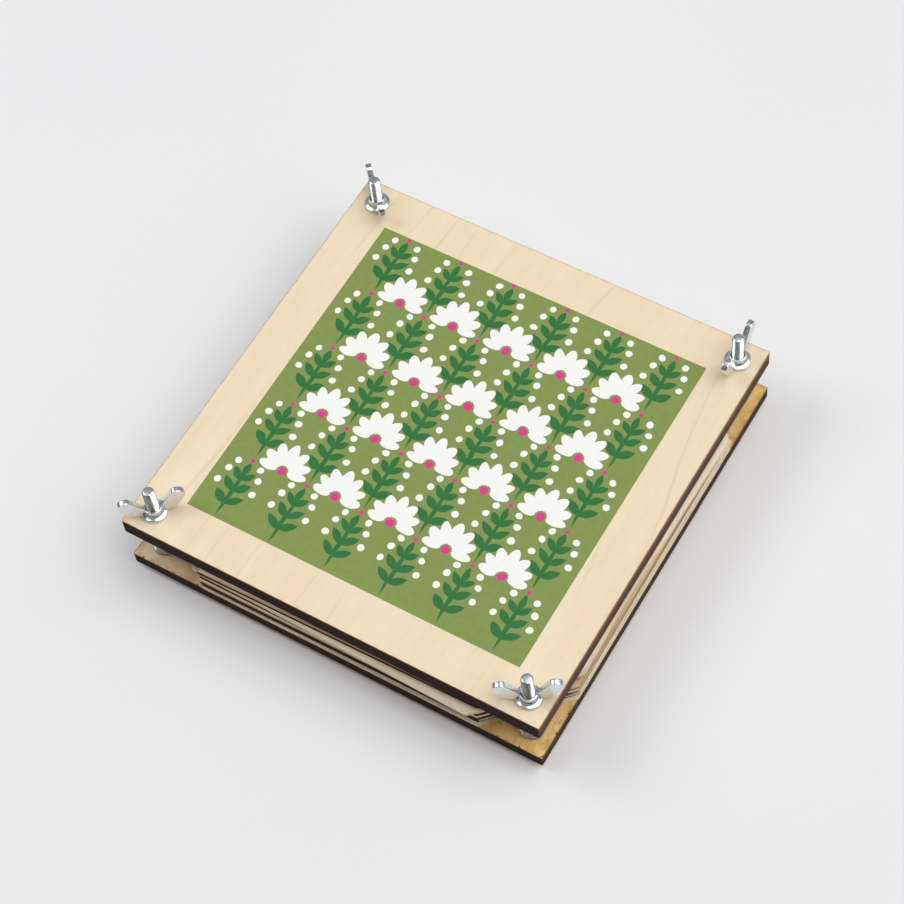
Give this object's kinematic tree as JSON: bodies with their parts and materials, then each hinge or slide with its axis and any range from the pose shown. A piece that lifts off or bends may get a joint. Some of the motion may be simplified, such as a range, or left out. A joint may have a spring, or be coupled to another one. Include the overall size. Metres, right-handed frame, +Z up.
{
  "type": "flower press",
  "caption": "Square plywood flower press: a printed top board drawn down by corner bolts and wing nuts onto corner-cut blotting papers and corrugated cards over a thinner board.",
  "frame": {"origin": "on the table below the middle of the boards", "axes": "+Z up; +X to the right-hand edge and -Y to the front edge, both as seen with the picture's near corner between them"},
  "size_m": [0.1526, 0.1556, 0.0419],
  "materials": {
    "birch_plywood": "matte",
    "zinc_steel": "gloss",
    "blotting_paper": "matte",
    "kraft_card": "matte"
  },
  "bodies": {
    "base": {"bottom_board": "birch_plywood", "bolt_front_left": "zinc_steel", "bolt_front_right": "zinc_steel", "bolt_back_right": "zinc_steel", "bolt_back_left": "zinc_steel", "lock_nut_front_left": "zinc_steel", "lock_nut_front_right": "zinc_steel", "lock_nut_back_right": "zinc_steel", "lock_nut_back_left": "zinc_steel", "blotting_paper_01": "blotting_paper", "blotting_paper_02": "blotting_paper", "blotting_paper_03": "blotting_paper", "blotting_paper_04": "blotting_paper", "blotting_paper_05": "blotting_paper", "blotting_paper_06": "blotting_paper", "blotting_paper_07": "blotting_paper", "blotting_paper_08": "blotting_paper", "blotting_paper_09": "blotting_paper", "blotting_paper_10": "blotting_paper", "blotting_paper_11": "blotting_paper", "blotting_paper_12": "blotting_paper", "blotting_paper_13": "blotting_paper", "corrugated_card_1": "kraft_card", "corrugated_card_2": "kraft_card", "corrugated_card_3": "kraft_card", "corrugated_card_4": "kraft_card"},
    "top_board": {"top_board": "birch_plywood"},
    "wing_nut_front_left": {"wing_nut_front_left": "zinc_steel"},
    "wing_nut_front_right": {"wing_nut_front_right": "zinc_steel"},
    "wing_nut_back_right": {"wing_nut_back_right": "zinc_steel"},
    "wing_nut_back_left": {"wing_nut_back_left": "zinc_steel"}
  },
  "joints": [
    {"name": "top_board_slide", "type": "slide", "parent": "base", "child": "top_board", "axis": [0, 0, 1], "range_m": [0, 0.0112]},
    {"name": "wing_nut_front_left_turn", "type": "hinge", "parent": "top_board", "child": "wing_nut_front_left", "pos_m": [-0.0673, -0.0673, 0.02898], "axis": [0, 0, 1], "range_deg": [0, 5765]},
    {"name": "wing_nut_front_right_turn", "type": "hinge", "parent": "top_board", "child": "wing_nut_front_right", "pos_m": [0.0673, -0.0673, 0.02898], "axis": [0, 0, 1], "range_deg": [0, 5765]},
    {"name": "wing_nut_back_right_turn", "type": "hinge", "parent": "top_board", "child": "wing_nut_back_right", "pos_m": [0.0673, 0.0673, 0.02898], "axis": [0, 0, 1], "range_deg": [0, 5765]},
    {"name": "wing_nut_back_left_turn", "type": "hinge", "parent": "top_board", "child": "wing_nut_back_left", "pos_m": [-0.0673, 0.0673, 0.02898], "axis": [0, 0, 1], "range_deg": [0, 5765]}
  ],
  "couplings": [
    {"joint": "wing_nut_front_left_turn", "follows": "top_board_slide", "rad_per_m": 8976},
    {"joint": "wing_nut_front_right_turn", "follows": "top_board_slide", "rad_per_m": 8976},
    {"joint": "wing_nut_back_right_turn", "follows": "top_board_slide", "rad_per_m": 8976},
    {"joint": "wing_nut_back_left_turn", "follows": "top_board_slide", "rad_per_m": 8976}
  ]
}
